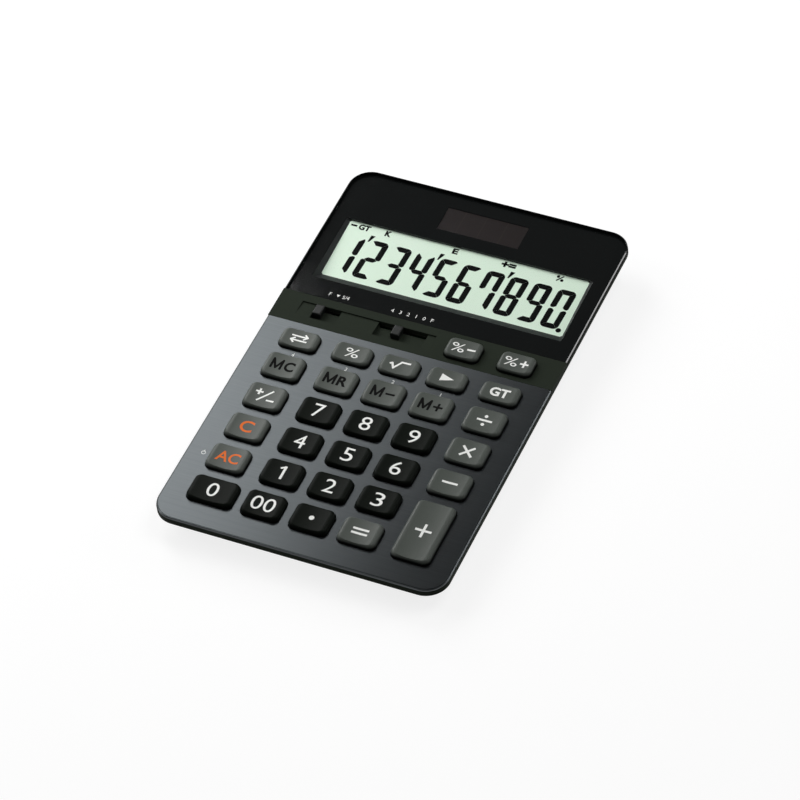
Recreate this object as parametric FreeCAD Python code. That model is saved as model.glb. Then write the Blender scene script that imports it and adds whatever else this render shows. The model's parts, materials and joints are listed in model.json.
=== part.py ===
import FreeCAD, Part
import math
import os

os.makedirs("parts", exist_ok=True)

V = FreeCAD.Vector

# All sizes are in millimetres. Pieces are drawn in the frame of the flat top face:
# x to the right, y to the rear, z out of the top, zero at the middle of that face.
# The rear is then lifted so that the feet stand on the desk at z = 0.

# Overall body
body_width = 109.0
body_depth = 176.5
corner_radius = 8.5
front_height = 9.3
rear_height = 14.05
rim_depth = 2.85
case_wall = 1.8
deck_bottom = -2.3

# Plate, window and the strip between them
plate_thick = 0.8
edge_chamfer = 0.32
edge_inset = 0.12
seam_gap = 0.1
window_depth = 64.75
strip_width = 13.8
window_thick = 1.2
glue_gap = 0.05
mask_thick = 0.2
seam_cut = 1.0

# Keys: five columns, five full rows, a short row behind them and two keys on the strip
columns = 5
full_rows = 5
left_margin = 9.25
right_margin = 8.75
middle_shift = 0.45
column_gap = 3.85
outer_gap = 6.0
front_margin = 9.95
row_gap = 4.1
short_row_gap = 3.9
strip_gap = 4.15
short_key_length = 8.5
strip_key_length = 8.8
strip_key_narrow = 1.3
strip_key_inset = 2.9
zero_extra = 2.7
key_corner = 2.3
key_height = 2.0
key_round = 1.15
dish_depth = 0.28
dish_edge = 0.6
flange_width = 0.8
flange_thick = 0.8
flange_gap = 0.05
key_clear = 0.3
key_shell = 1.3
key_roof = 1.2
plunger_radius = 2.4

# Rubber contact parts and circuit board
dome_height = 1.6
dome_base_radius = 3.2
dome_top_radius = 2.0
dome_wall = 0.6
sheet_thick = 0.35
sheet_inset = 0.5
sheet_hole_radius = 1.6
board_thick = 1.0
board_corner = 1.5
board_side = 8.5
board_front_margin = 1.5
board_overlap = 3.1
board_screw_inset = 2.3
chip_size = 11.0
chip_thick = 1.2
chip_corner = 2.0

# Slide switches
pocket_front_inset = 3.5
pocket_rear_inset = 3.5
pocket_depth = 1.8
scoop_depth = 0.5
scoop_side = 9.0
scoop_gap = 5.6
slot_width = 1.2
slot_inset = 0.2
knob_width = 3.3
knob_length = 4.7
knob_proud = 0.8
knob_round = 0.5
knob_clear = 0.2
stem_width = 2.4
stem_thick = 0.8
shoe_length = 8.0
shoe_width = 5.6
shoe_thick = 0.7
switch_step = 3.05
rounding_left_steps = 0
rounding_right_steps = 2
decimal_x = -7.7
decimal_left_steps = 2
decimal_right_steps = 3
wiper_thick = 0.2
wiper_width = 2.0
wiper_half_span = 3.0
wiper_land = 1.0
wiper_gap = 0.15

# Display
view_side = 7.8
view_length = 26.95
view_rear_inset = 24.05
view_rear_z = -2.2
lcd_tilt = 3.2
funnel_side = 1.5
funnel_front = 3.95
funnel_rear = 0.1
view_corner = 0.7
bezel_side = 1.4
bezel_front = 1.3
bezel_rear = 1.5
bezel_deep = 5.0
bezel_clear = 0.15
glass_thick = 1.8
glass_side = 1.5
glass_rear = 1.2
glass_ledge = 3.2
holder_thick = 1.2
holder_side = 0.8
holder_lip = 0.9
ear_radius = 2.4
ear_root = 1.0
ear_rear_side = 16.7
ear_rear_out = 3.0
ear_front_side = 8.7
ear_front_out = 3.55
ribbon_width = 46.0
ribbon_thick = 0.2
ribbon_land = 3.5
ribbon_clear = 1.0

# Solar cell
solar_rear_inset = 12.85
solar_view_width = 32.8
solar_left_cover = 1.2
solar_view_length = 11.2
solar_border = 1.3
solar_thick = 1.2
solar_clear = 0.3
lead_radius = 0.4
lead_side = 4.0
lead_inset = 2.8
lead_solder = 2.0
lead_sag = 0.15
lead_lift = 0.4
lead_bend = 1.2

# Rear case
tub_inset = 0.8
tub_wall = 1.5
tub_side_inset = 5.5
tub_front_inset = 4.5
tub_rear_inset = 7.0
tub_corner = 5.0
floor_thick = 1.4
lip_gap = 0.2
lip_thick = 1.2
lip_height = 0.35
rib_thick = 1.2
rib_side = 14.5

# Screws
small_shank_radius = 0.8
small_shank_length = 2.9
small_head_radius = 1.7
small_head_height = 0.8
case_shank_radius = 0.9
case_shank_length = 4.5
case_head_radius = 1.8
case_head_height = 1.1
screw_clear = 0.05
hole_clear = 0.25
boss_radius = 1.9
boss_root = 0.4
case_boss_radius = 2.75
case_floor = 1.9
case_rear_side = 10.5
case_rear_inset = 12.25
case_rear_split = -8.4
case_rear_floor = 1.5

# Feet, coin cell and its cover
foot_radius = 4.5
foot_round = 0.3
foot_clear = 0.2
foot_stand = 1.0
foot_recess = 0.6
foot_side = 13.5
foot_front_inset = 12.25
foot_rear_inset = 26.25
cell_radius = 10.0
cell_thick = 3.2
cell_cap_inset = 1.2
cell_cap_rise = 0.4
cell_clear = 0.4
cell_rear_inset = 28.25
well_wall = 1.6
cover_width = 26.0
cover_length = 40.0
cover_front_shift = 6.5
cover_thick = 1.0
cover_corner = 1.0
cover_clear = 0.2
cover_pad = 1.0
cover_rim = 2.0
cover_screw_inset = 5.0
cover_boss_radius = 2.6
cover_boss_height = 2.2
cover_screw_length = 3.4
grip_width = 12.0
grip_length = 0.8
grip_depth = 0.3
grip_pitch = 2.0
grip_inset = 4.0
grip_count = 4
contact_thick = 0.3
contact_width = 5.0
contact_rise = 0.3
lead_offset = 4.0
lead_drop = 1.7
lead_run = 6.0
lead_step = 2.0
lead_weld = 3.0

# Places across the body that follow from the sizes above
half_width = body_width / 2
half_depth = body_depth / 2
strip_rear = half_depth - window_depth
strip_front = strip_rear - strip_width
margins = left_margin + right_margin
key_width = (body_width - margins - 2 * outer_gap - (columns - 3) * column_gap) / columns
column_pitch = key_width + column_gap
left_x = -half_width + left_margin + key_width / 2
right_x = half_width - right_margin - key_width / 2
column_x = [left_x, middle_shift - column_pitch, middle_shift, middle_shift + column_pitch, right_x]
short_row_room = strip_gap + short_key_length + short_row_gap
row_room = strip_front + half_depth - short_row_room - front_margin
key_length = (row_room - (full_rows - 1) * row_gap) / full_rows
row_pitch = key_length + row_gap
row_a_y = strip_front - strip_gap - short_key_length / 2
row_b_y = strip_front - short_row_room - key_length / 2
row_y = [row_b_y - row_pitch * i for i in range(full_rows)]
strip_key_y = strip_rear - strip_key_inset - strip_key_length / 2
strip_key_width = key_width - strip_key_narrow
left_gap_x = (column_x[0] + column_x[1]) / 2
right_gap_x = (column_x[3] + column_x[4]) / 2
short_gap_y = row_a_y - (short_key_length + short_row_gap) / 2
board_half_width = half_width - board_side
board_front = row_y[-1] - key_length / 2 - board_front_margin
board_rear = strip_rear + board_overlap
pocket_front = strip_front + pocket_front_inset
pocket_rear = strip_rear - pocket_rear_inset
scoop_left = -half_width + scoop_side
scoop_right = column_x[3] - strip_key_width / 2 - scoop_gap
rounding_x = column_x[0]
slot_rear = pocket_rear - slot_inset
view_width = body_width - 2 * view_side
view_rear_y = half_depth - view_rear_inset
opening_width = view_width + 2 * funnel_side
opening_front = view_rear_y - view_length - funnel_front
opening_rear = view_rear_y - funnel_rear
ear_rear_x = view_width / 2 - ear_rear_side
ear_rear_y = glass_rear + holder_side + ear_rear_out
ear_front_x = view_width / 2 - ear_front_side
ear_front_y = -view_length - glass_ledge - holder_side - ear_front_out
solar_y = half_depth - solar_rear_inset
lead_x = half_width - lead_side
lead_y = solar_y - lead_inset
rib_half_width = half_width - rib_side
cell_y = half_depth - cell_rear_inset
cover_y = cell_y - cover_front_shift
cover_screw_y = cover_y - cover_length / 2 + cover_screw_inset

# Levels that follow from the sizes above
tilt = math.degrees(math.asin((rear_height - front_height) / body_depth))
part_level = -rim_depth
display_floor = -(window_thick + glue_gap + mask_thick)
flange_top = deck_bottom - flange_gap
flange_bottom = flange_top - flange_thick
sheet_top = flange_bottom - dome_height
board_top = sheet_top - sheet_thick
board_bottom = board_top - board_thick
boss_top = deck_bottom + boss_root
case_front_seat = board_bottom - case_floor
case_rear_seat = case_rear_split - case_rear_floor
pocket_floor = -pocket_depth
shoe_top = deck_bottom - knob_clear
shoe_bottom = shoe_top - shoe_thick
floor_top = foot_stand + floor_thick
pad_top = floor_top + cover_pad
cover_top = foot_stand + cover_thick
cover_seat = foot_stand + cover_thick / 2
cell_top = cover_top + cell_thick

# From the frame of the top face to the frame of the desk
slope = math.radians(tilt)
shift_y = -(rim_depth - plate_thick) / 2 * math.sin(slope)
shift_z = (front_height + rear_height) / 2
desk = FreeCAD.Placement(V(0, shift_y, shift_z), FreeCAD.Rotation(V(1, 0, 0), tilt))
lcd = FreeCAD.Placement(V(0, view_rear_y, view_rear_z), FreeCAD.Rotation(V(1, 0, 0), lcd_tilt))


def placed(shape, placement):
    copy = shape.copy()
    copy.Placement = placement.multiply(copy.Placement)
    return copy


def export(name, shape):
    if not shape.isValid():
        print("not valid:", name)
    shape.exportStep("parts/" + name + ".step")


def on_desk(name, shape):
    export(name, placed(shape, desk))


def box(x0, x1, y0, y1, z0, z1):
    return Part.makeBox(x1 - x0, y1 - y0, z1 - z0, V(x0, y0, z0))


def rod(x, y, z0, z1, radius):
    return Part.makeCylinder(radius, z1 - z0, V(x, y, z0), V(0, 0, 1))


def outline(x0, x1, y0, y1, radius, z):
    c = math.sqrt(0.5) * radius
    a = [V(x0 + radius, y0, z), V(x1 - radius, y0, z), V(x1, y0 + radius, z), V(x1, y1 - radius, z)]
    b = [V(x1 - radius, y1, z), V(x0 + radius, y1, z), V(x0, y1 - radius, z), V(x0, y0 + radius, z)]
    m = [V(x1 - radius + c, y0 + radius - c, z), V(x1 - radius + c, y1 - radius + c, z)]
    n = [V(x0 + radius - c, y1 - radius + c, z), V(x0 + radius - c, y0 + radius - c, z)]
    edges = [
        Part.makeLine(a[0], a[1]),
        Part.Arc(a[1], m[0], a[2]).toShape(),
        Part.makeLine(a[2], a[3]),
        Part.Arc(a[3], m[1], b[0]).toShape(),
        Part.makeLine(b[0], b[1]),
        Part.Arc(b[1], n[0], b[2]).toShape(),
        Part.makeLine(b[2], b[3]),
        Part.Arc(b[3], n[1], a[0]).toShape(),
    ]
    return Part.Wire(edges)


def slab(x0, x1, y0, y1, radius, z0, z1):
    return Part.Face(outline(x0, x1, y0, y1, radius, z0)).extrude(V(0, 0, z1 - z0))


def body_slab(inset, z0, z1):
    x = body_width / 2 - inset
    y = body_depth / 2 - inset
    return slab(-x, x, -y, y, corner_radius - inset, z0, z1)


def centred(x, y, width, length, radius, z0, z1):
    return slab(x - width / 2, x + width / 2, y - length / 2, y + length / 2, radius, z0, z1)


def top_edges(shape, z):
    return [e for e in shape.Edges if e.BoundBox.ZMin > z - 1e-6]


# A lead through a few points: straight runs joined by round bends
def pipe(points, radius):
    edges = []
    start = points[0]
    for before, corner, after in zip(points, points[1:], points[2:]):
        back = (before - corner).normalize()
        ahead = (after - corner).normalize()
        turn = math.pi - back.getAngle(ahead)
        run = lead_bend * math.tan(turn / 2)
        inside = lead_bend / math.cos(turn / 2) - lead_bend
        edges.append(Part.LineSegment(start, corner + back * run).toShape())
        middle = corner + (back + ahead).normalize() * inside
        edges.append(Part.Arc(corner + back * run, middle, corner + ahead * run).toShape())
        start = corner + ahead * run
    edges.append(Part.LineSegment(start, points[-1]).toShape())
    ring = Part.Wire(Part.makeCircle(radius, points[0], points[1] - points[0]))
    return Part.Wire(edges).makePipeShell([ring], True, False)


# Where each key stands: name, x, y, width, length
def key_list():
    keys = []
    for name, x in (("key_tax_minus", column_x[3]), ("key_tax_plus", column_x[4])):
        keys.append((name, x, strip_key_y, strip_key_width, strip_key_length))
    names_a = ("key_exchange", "key_percent", "key_root", "key_backspace", "key_grand_total")
    for name, x in zip(names_a, column_x):
        keys.append((name, x, row_a_y, key_width, short_key_length))
    rows = (
        ("key_memory_clear", "key_memory_recall", "key_memory_minus", "key_memory_plus", "key_divide"),
        ("key_sign", "key_seven", "key_eight", "key_nine", "key_multiply"),
        ("key_clear", "key_four", "key_five", "key_six", "key_minus"),
        ("key_all_clear", "key_one", "key_two", "key_three"),
    )
    for names, y in zip(rows, row_y):
        for name, x in zip(names, column_x):
            keys.append((name, x, y, key_width, key_length))
    keys.append(("key_zero", column_x[0] + zero_extra / 2, row_y[4], key_width + zero_extra, key_length))
    for name, x in zip(("key_double_zero", "key_point", "key_equals"), column_x[1:4]):
        keys.append((name, x, row_y[4], key_width, key_length))
    tall = key_length + row_pitch
    keys.append(("key_plus", column_x[4], (row_y[3] + row_y[4]) / 2, key_width, tall))
    return keys


keys = key_list()


def key_shape(width, length):
    cap = centred(0, 0, width, length, key_corner, flange_bottom, key_height)
    cap = cap.makeFillet(key_round, top_edges(cap, key_height))
    flat = width / 2 - key_round - dish_edge
    dish_radius = (flat * flat + dish_depth * dish_depth) / (2 * dish_depth)
    start = V(0, -length, key_height - dish_depth + dish_radius)
    cap = cap.cut(Part.makeCylinder(dish_radius, 2 * length, start, V(0, 1, 0)))
    wide = width + 2 * flange_width
    long = length + 2 * flange_width
    flange = centred(0, 0, wide, long, key_corner, flange_bottom, flange_top)
    hollow_top = key_height - dish_depth - key_roof
    in_width = width - 2 * key_shell
    in_length = length - 2 * key_shell
    hollow = centred(0, 0, in_width, in_length, key_corner - key_shell, flange_bottom - seam_cut, hollow_top)
    plunger = rod(0, 0, flange_bottom, hollow_top + key_roof / 2, plunger_radius)
    return cap.fuse(flange).cut(hollow).fuse(plunger).removeSplitter()


def key_holes(z0, z1):
    holes = []
    for name, x, y, width, length in keys:
        grow = 2 * key_clear
        holes.append(centred(x, y, width + grow, length + grow, key_corner + key_clear, z0, z1))
    return holes


# Slide switches: x of the knob, room to its left and to its right
switches = (
    ("rounding", rounding_x, rounding_left_steps * switch_step, rounding_right_steps * switch_step),
    ("decimal", decimal_x, decimal_left_steps * switch_step, decimal_right_steps * switch_step),
)


def switch_cuts():
    run = pocket_rear - pocket_front
    wedge = Part.Face(Part.makePolygon([
        V(scoop_left, pocket_rear, 0), V(scoop_left, pocket_rear, -scoop_depth),
        V(scoop_left, pocket_rear - run, 0), V(scoop_left, pocket_rear, 0)]))
    cuts = [wedge.extrude(V(scoop_right - scoop_left, 0, 0))]
    for name, x, left, right in switches:
        side = knob_width / 2 + knob_clear
        x0 = x - left - side
        x1 = x + right + side
        cuts.append(box(x0, x1, pocket_front, pocket_rear, pocket_floor, seam_cut))
        side = stem_width / 2 + knob_clear
        slot_front = slot_rear - slot_width
        x0 = x - left - side
        x1 = x + right + side
        cuts.append(box(x0, x1, slot_front, slot_rear, deck_bottom - seam_cut, seam_cut))
    return cuts


def knob_shape(x):
    rear = pocket_rear - knob_clear
    bottom = pocket_floor + knob_clear
    cap = box(x - knob_width / 2, x + knob_width / 2, rear - knob_length, rear, bottom, knob_proud)
    cap = cap.makeFillet(knob_round, top_edges(cap, knob_proud))
    middle = slot_rear - slot_width / 2
    half = stem_thick / 2
    low = shoe_bottom + shoe_thick / 2
    wide = stem_width / 2
    stem = box(x - wide, x + wide, middle - half, middle + half, low, bottom + half)
    wide = shoe_length / 2
    half = shoe_width / 2
    shoe = box(x - wide, x + wide, middle - half, middle + half, shoe_bottom, shoe_top)
    return cap.fuse([stem, shoe]).removeSplitter()


def wiper_shape(x):
    low = board_top + wiper_gap
    t = wiper_thick
    s = wiper_half_span
    y0 = slot_rear - slot_width / 2 - wiper_width / 2
    n = wiper_land
    points = [
        V(x - s, y0, low), V(x - s + n, y0, low), V(x - n, y0, shoe_bottom - t),
        V(x + n, y0, shoe_bottom - t), V(x + s - n, y0, low), V(x + s, y0, low),
        V(x + s, y0, low + t), V(x + s - n + t, y0, low + t), V(x + n + t, y0, shoe_bottom),
        V(x - n - t, y0, shoe_bottom), V(x - s + n - t, y0, low + t), V(x - s, y0, low + t),
        V(x - s, y0, low)]
    return Part.Face(Part.makePolygon(points)).extrude(V(0, wiper_width, 0))


# Places of the screws in the frame of the top face
gaps_x = (left_gap_x, right_gap_x)
case_front_spots = [(x, (row_y[2] + row_y[3]) / 2) for x in gaps_x]
case_rear_spots = [(s * (half_width - case_rear_side), half_depth - case_rear_inset) for s in (-1, 1)]
board_rows = ((row_y[1] + row_y[2]) / 2, short_gap_y, board_rear - board_screw_inset)
board_spots = [(x, y) for y in board_rows for x in gaps_x]
ear_spots = [(s * ear_rear_x, ear_rear_y) for s in (-1, 1)]
ear_spots += [(s * ear_front_x, ear_front_y) for s in (-1, 1)]


def bezel_bounds(grow):
    x = opening_width / 2 + bezel_side + grow
    return -x, x, opening_front - bezel_front - grow, opening_rear + bezel_rear + grow


def solar_half(grow):
    return solar_view_width / 2 + solar_border + grow, solar_view_length / 2 + solar_border + grow


def front_case():
    body = body_slab(0, part_level, 0)
    w = body_width
    d = body_depth
    cuts = [
        box(-w, w, -d, strip_front, -plate_thick, seam_cut),
        box(-w, w, strip_rear, d, display_floor, seam_cut),
        body_slab(case_wall, part_level - seam_cut, deck_bottom),
    ]
    x0, x1, y0, y1 = bezel_bounds(bezel_clear)
    cuts.append(box(x0, x1, y0, y1, part_level - seam_cut, seam_cut))
    sx, sy = solar_half(solar_clear)
    cuts.append(box(-sx, sx, solar_y - sy, solar_y + sy, part_level - seam_cut, seam_cut))
    body = body.cut(cuts + key_holes(deck_bottom - seam_cut, seam_cut) + switch_cuts())
    bosses = [rod(x, y, board_top, boss_top, boss_radius) for x, y in board_spots + case_front_spots]
    bosses += [rod(x, y, case_rear_split, boss_top, case_boss_radius) for x, y in case_rear_spots]
    for x, y in ear_spots:
        rise = (boss_top - view_rear_z) - y * math.sin(math.radians(lcd_tilt))
        bosses.append(placed(rod(x, y, -glass_thick, rise, boss_radius), lcd))
    body = body.fuse(bosses)
    pilot = small_shank_radius + screw_clear
    tops = board_bottom + small_shank_length + screw_clear
    holes = [rod(x, y, board_top - seam_cut, tops, pilot) for x, y in board_spots]
    ear_top = -glass_thick - holder_thick + small_shank_length + screw_clear
    holes += [placed(rod(x, y, -glass_thick - seam_cut, ear_top, pilot), lcd) for x, y in ear_spots]
    pilot = case_shank_radius + screw_clear
    reach = case_shank_length + screw_clear
    tops = case_front_seat + reach
    holes += [rod(x, y, board_top - seam_cut, tops, pilot) for x, y in case_front_spots]
    tops = case_rear_seat + reach
    holes += [rod(x, y, case_rear_split - seam_cut, tops, pilot) for x, y in case_rear_spots]
    return body.cut(holes).removeSplitter()


def keyboard_plate():
    sheet = body_slab(edge_inset, -plate_thick, 0)
    sheet = sheet.makeChamfer(edge_chamfer, top_edges(sheet, 0))
    low = -plate_thick - seam_cut
    keep = box(-body_width, body_width, -body_depth, strip_front - seam_gap, low, seam_cut)
    return sheet.common(keep).cut(key_holes(low, seam_cut)).removeSplitter()


def display_window():
    sheet = body_slab(edge_inset, -window_thick, 0)
    sheet = sheet.makeChamfer(edge_chamfer, top_edges(sheet, 0))
    keep = box(-body_width, body_width, strip_rear + seam_gap, body_depth, -window_thick - seam_cut, seam_cut)
    return sheet.common(keep)


def window_mask():
    film = body_slab(edge_inset, display_floor, display_floor + mask_thick)
    keep = box(-body_width, body_width, strip_rear + seam_gap, body_depth, display_floor - seam_cut, seam_cut)
    x = opening_width / 2
    view = box(-x, x, opening_front, opening_rear, display_floor - seam_cut, seam_cut)
    x = solar_view_width / 2
    y = solar_view_length / 2
    sun = box(solar_left_cover - x, x, solar_y - y, solar_y + y, display_floor - seam_cut, seam_cut)
    return film.common(keep).cut([view, sun])


def clipped(x0, x1, y0, y1, clip, z):
    front = [V(x0 + clip, y0, z), V(x1 - clip, y0, z), V(x1, y0 + clip, z), V(x1, y1 - clip, z)]
    rear = [V(x1 - clip, y1, z), V(x0 + clip, y1, z), V(x0, y1 - clip, z), V(x0, y0 + clip, z)]
    return Part.makePolygon(front + rear + front[:1])


def lcd_bezel():
    x0, x1, y0, y1 = bezel_bounds(0)
    ring = box(x0, x1, y0, y1, view_rear_z - bezel_deep, display_floor)
    below = placed(box(-body_width, body_width, -body_depth, body_depth, -body_width, 0), lcd)
    x = opening_width / 2
    upper = clipped(-x, x, opening_front, opening_rear, view_corner, display_floor)
    x = view_width / 2
    lower = clipped(-x, x, -view_length, 0, view_corner, 0)
    lower.Placement = lcd
    funnel = Part.makeLoft([lower, upper], True, True)
    return ring.cut(below).cut(funnel)


def lcd_panel():
    x = view_width / 2 + glass_side
    return placed(box(-x, x, -view_length - glass_ledge, glass_rear, -glass_thick, 0), lcd)


def lcd_holder():
    x = view_width / 2 + glass_side + holder_side
    front = -view_length - glass_ledge - holder_side
    rear = glass_rear + holder_side
    low = -glass_thick - holder_thick
    tray = box(-x, x, front, rear, low, -holder_lip)
    gx = x - holder_side + bezel_clear
    gy0 = front + holder_side - bezel_clear
    gy1 = rear - holder_side + bezel_clear
    gate = box(-gx, gx, gy0, gy1, -glass_thick, seam_cut)
    tray = tray.cut(gate)
    notch = ribbon_width / 2 + ribbon_clear
    notch_rear = -view_length + ribbon_thick
    tray = tray.cut(box(-notch, notch, front - seam_cut, notch_rear, low - seam_cut, seam_cut))
    ears = []
    for px, py in ear_spots:
        edge = rear - ear_root if py > 0 else front + ear_root
        ears.append(rod(px, py, low, -glass_thick, ear_radius))
        y0, y1 = sorted((edge, py))
        ears.append(box(px - ear_radius, px + ear_radius, y0, y1, low, -glass_thick))
    tray = tray.fuse(ears)
    hole = small_shank_radius + hole_clear
    holes = [rod(px, py, low - seam_cut, seam_cut, hole) for px, py in ear_spots]
    return placed(tray.cut([gate] + holes).removeSplitter(), lcd)


def lcd_ribbon():
    t = ribbon_thick
    near = lcd.multVec(V(0, -view_length, -glass_thick))
    edge = lcd.multVec(V(0, -view_length - glass_ledge, -glass_thick))
    near_low = lcd.multVec(V(0, -view_length, -glass_thick - t))
    edge_low = lcd.multVec(V(0, -view_length - glass_ledge, -glass_thick - t))
    points = [
        near, edge, V(0, board_rear, board_top + t), V(0, board_rear - ribbon_land, board_top + t),
        V(0, board_rear - ribbon_land, board_top), V(0, board_rear, board_top), edge_low, near_low, near]
    moved = [V(-ribbon_width / 2, p.y, p.z) for p in points]
    return Part.Face(Part.makePolygon(moved)).extrude(V(ribbon_width, 0, 0))


def solar_cell():
    x, y = solar_half(0)
    return box(-x, x, solar_y - y, solar_y + y, display_floor - solar_thick, display_floor)


def solar_leads():
    x = solar_half(0)[0] - lead_solder
    z0 = display_floor - solar_thick - lead_radius
    z1 = board_top + lead_radius
    leads = []
    for side in (-1, 1):
        leads.append(pipe([
            V(side * x, lead_y, z0), V(side * lead_x, lead_y, z0 - lead_sag),
            V(side * lead_x, board_rear - lead_solder / 2, z1 + lead_lift),
            V(side * (board_half_width - lead_solder), board_rear - lead_solder, z1)],
            lead_radius))
    return Part.makeCompound(leads)


def main_board():
    x = board_half_width
    board = slab(-x, x, board_front, board_rear, board_corner, board_bottom, board_top)
    low = board_bottom - seam_cut
    holes = [rod(px, py, low, 0, small_shank_radius + hole_clear) for px, py in board_spots]
    holes += [rod(px, py, low, 0, case_shank_radius + hole_clear) for px, py in case_front_spots]
    return board.cut(holes)


def controller_chip():
    half = chip_size / 2
    y = row_y[1]
    return slab(-half, half, y - half, y + half, chip_corner, board_bottom - chip_thick, board_bottom)


def rubber_sheet():
    x = board_half_width - sheet_inset
    rear = strip_rear - boss_radius
    sheet = slab(-x, x, board_front + sheet_inset, rear, board_corner, board_top, sheet_top)
    cuts = [rod(kx, ky, board_top - seam_cut, 0, sheet_hole_radius) for name, kx, ky, kw, kl in keys]
    for px, py in board_spots + case_front_spots:
        if py < rear:
            cuts.append(rod(px, py, board_top - seam_cut, 0, boss_radius + key_clear))
    left = scoop_left
    right = decimal_x + decimal_right_steps * switch_step + shoe_length / 2 + wiper_land
    cuts.append(box(left, right, pocket_front - wiper_land, strip_rear, board_top - seam_cut, 0))
    return sheet.cut(cuts)


def dome_shape():
    outer = Part.makeCone(dome_base_radius, dome_top_radius, dome_height, V(0, 0, sheet_top))
    roof = dome_height - dome_wall
    drop = roof * (dome_base_radius - dome_top_radius) / dome_height
    radius = dome_base_radius - dome_wall
    inner = Part.makeCone(radius, radius - drop, roof, V(0, 0, sheet_top))
    return outer.cut(inner)


def key_domes():
    dome = dome_shape()
    copies = []
    for name, x, y, width, length in keys:
        copies.append(placed(dome, FreeCAD.Placement(V(x, y, 0), FreeCAD.Rotation())))
    return Part.makeCompound(copies)


def screw(shank_radius, shank_length, head_radius, head_height):
    shank = Part.makeCylinder(shank_radius, shank_length)
    head = Part.makeCylinder(head_radius, head_height, V(0, 0, -head_height))
    slot = Part.makeBox(2 * head_radius, head_height / 3, head_height / 2)
    cross = slot.copy()
    slot.translate(V(-head_radius, -head_height / 6, -head_height - head_height / 4))
    cross.translate(V(-head_radius, -head_height / 6, -head_height - head_height / 4))
    cross.rotate(V(0, 0, 0), V(0, 0, 1), 90)
    return shank.fuse(head).cut([slot, cross]).removeSplitter()


def at(x, y, z):
    return FreeCAD.Placement(V(x, y, z), FreeCAD.Rotation())


def inner_screws():
    one = screw(small_shank_radius, small_shank_length, small_head_radius, small_head_height)
    copies = [placed(one, at(x, y, board_bottom)) for x, y in board_spots]
    low = -glass_thick - holder_thick
    copies += [placed(placed(one, at(x, y, low)), lcd) for x, y in ear_spots]
    return Part.makeCompound(copies)


def case_screws():
    one = screw(case_shank_radius, case_shank_length, case_head_radius, case_head_height)
    copies = [placed(one, at(x, y, case_front_seat)) for x, y in case_front_spots]
    copies += [placed(one, at(x, y, case_rear_seat)) for x, y in case_rear_spots]
    return Part.makeCompound(copies)


# The pieces below stand square to the desk and are drawn in its frame
foot_rows = (-half_depth + foot_front_inset, half_depth - foot_rear_inset)
foot_spots = [(s * (half_width - foot_side), y) for y in foot_rows for s in (-1, 1)]


def tub(grow, level_top, level_bottom):
    inset = tub_inset + grow
    x = body_width / 2 - inset
    y = body_depth / 2 - inset
    upper = outline(-x, x, -y, y, corner_radius - inset, level_top)
    upper.Placement = desk
    x = body_width / 2 - tub_side_inset - grow
    y0 = -body_depth / 2 + tub_front_inset + grow
    y1 = body_depth / 2 - tub_rear_inset - grow
    lower = outline(-x, x, y0, y1, tub_corner, level_bottom)
    return Part.makeLoft([lower, upper], True, True)


def rear_case():
    outer = tub(0, part_level, foot_stand)
    shell = outer.cut(tub(tub_wall, part_level + lip_height, floor_top))
    inset = case_wall + lip_gap
    lip = body_slab(inset, part_level - seam_cut, part_level + lip_height)
    lip = lip.cut(body_slab(inset + lip_thick, part_level - 2 * seam_cut, part_level + 2 * seam_cut))
    added = []
    deep = -2 * rear_height
    for x, y in case_front_spots:
        added.append(placed(rod(x, y, deep, board_bottom, case_boss_radius), desk).common(outer))
    for x, y in case_rear_spots:
        added.append(placed(rod(x, y, deep, case_rear_split, case_boss_radius), desk).common(outer))
    half = rib_thick / 2
    for y in (board_front + board_corner + half, row_b_y):
        rib = box(-rib_half_width, rib_half_width, y - half, y + half, deep, board_bottom)
        added.append(placed(rib, desk).common(outer))
    pad_x = cover_width / 2 + cover_rim
    pad_y = cover_length / 2 + cover_rim
    added.append(box(-pad_x, pad_x, cover_y - pad_y, cover_y + pad_y, foot_stand, pad_top))
    added.append(rod(0, cell_y, foot_stand, cell_top, cell_radius + cell_clear + well_wall))
    added.append(rod(0, cover_screw_y, foot_stand, pad_top + cover_boss_height, cover_boss_radius))
    shell = shell.fuse([placed(lip, desk)] + added)
    grow = cover_clear
    x = cover_width / 2 + grow
    y = cover_length / 2 + grow
    pilot_top = cover_seat + cover_screw_length + screw_clear
    cuts = [
        box(-x, x, cover_y - y, cover_y + y, 0, cover_top),
        rod(0, cell_y, 0, cell_top + seam_cut, cell_radius + cell_clear),
        rod(0, cover_screw_y, 0, pilot_top, case_shank_radius + screw_clear),
    ]
    half = contact_width / 2 + hole_clear
    front = cell_y - cell_radius - cell_clear - well_wall - seam_cut
    cuts.append(box(-half, half, front, cell_y - cell_radius + seam_cut, pad_top, cell_top + seam_cut))
    for x, y in foot_spots:
        cuts.append(rod(x, y, 0, foot_stand + foot_recess, foot_radius + foot_clear))
    for spots, seat in ((case_front_spots, case_front_seat), (case_rear_spots, case_rear_seat)):
        for x, y in spots:
            cuts.append(placed(rod(x, y, deep, seat, case_head_radius + hole_clear), desk))
            cuts.append(placed(rod(x, y, deep, 0, case_shank_radius + hole_clear), desk))
    return shell.cut(cuts).removeSplitter()


def battery_cover():
    x = cover_width / 2
    y = cover_length / 2
    lid = slab(-x, x, cover_y - y, cover_y + y, cover_corner, foot_stand, cover_top)
    hole = rod(0, cover_screw_y, 0, cover_top + seam_cut, case_shank_radius + hole_clear)
    seat = rod(0, cover_screw_y, 0, cover_seat, case_head_radius + hole_clear)
    grips = []
    x = grip_width / 2
    half = grip_length / 2
    for i in range(grip_count):
        gy = cover_y + cover_length / 2 - grip_inset - grip_pitch * i
        grips.append(box(-x, x, gy - half, gy + half, 0, foot_stand + grip_depth))
    return lid.cut([hole, seat] + grips)


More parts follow.
